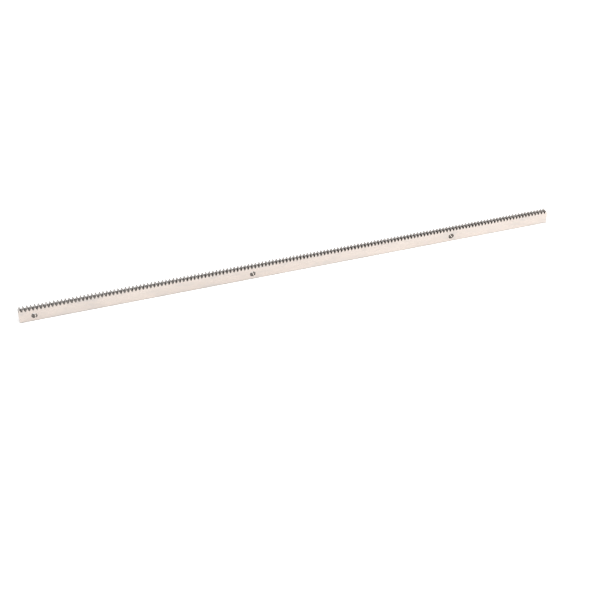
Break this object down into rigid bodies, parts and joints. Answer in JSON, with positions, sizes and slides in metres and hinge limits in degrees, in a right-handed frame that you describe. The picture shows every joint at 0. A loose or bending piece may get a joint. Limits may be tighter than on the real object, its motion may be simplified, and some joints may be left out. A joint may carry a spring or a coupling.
{
  "type": "gear rack",
  "caption": "Slim steel gear rack: a straight bar with spur teeth along its top edge and plain screw holes through its side face.",
  "frame": {"origin": "middle of the narrow back edge that the bar stands on", "axes": "+X along the bar, from the end with a hole close to it; +Y across the face width; +Z from the back edge up to the tooth tips. The pitch line runs along X at Z = 14.61 mm."},
  "size_m": [0.6104, 0.0076, 0.0159],
  "materials": {
    "steel": "drawn bright steel, with milled teeth"
  },
  "bodies": {
    "root": {"gear_rack": "steel"}
  },
  "joints": []
}
